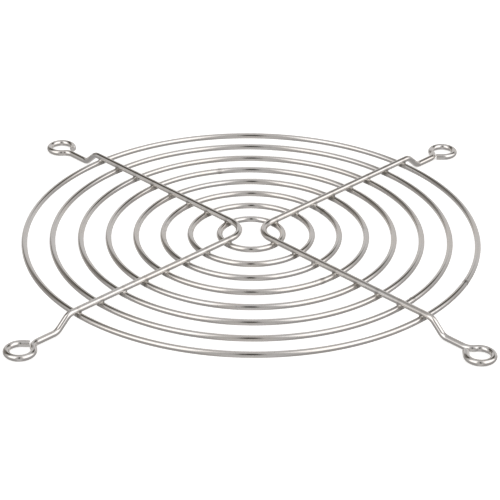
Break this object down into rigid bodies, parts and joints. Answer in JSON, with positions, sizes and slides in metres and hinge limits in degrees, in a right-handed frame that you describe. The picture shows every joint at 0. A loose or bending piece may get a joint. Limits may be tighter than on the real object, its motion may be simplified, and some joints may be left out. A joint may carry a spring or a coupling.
{
  "type": "wire fan guard",
  "caption": "Round finger guard of concentric plated wire rings on two V-shaped support wires with screw eyelets.",
  "frame": {"origin": "centre of the four-screw pattern, on the mounting plane that the eyelets rest on", "axes": "+Z away from the fan, through the rings; X and Y along the sides of the square screw pattern, with the bends of the two support wires facing each other along X"},
  "size_m": [0.1149, 0.1148, 0.005],
  "materials": {
    "ring_plating": "bright nickel-chrome plated steel wire, lightly drawn",
    "support_plating": "bright nickel-chrome plated steel wire, lightly drawn"
  },
  "bodies": {
    "root": {"ring_1": "ring_plating", "ring_2": "ring_plating", "ring_3": "ring_plating", "ring_4": "ring_plating", "ring_5": "ring_plating", "ring_6": "ring_plating", "ring_7": "ring_plating", "ring_8": "ring_plating", "support_wire_left": "support_plating", "support_wire_right": "support_plating"}
  },
  "joints": []
}
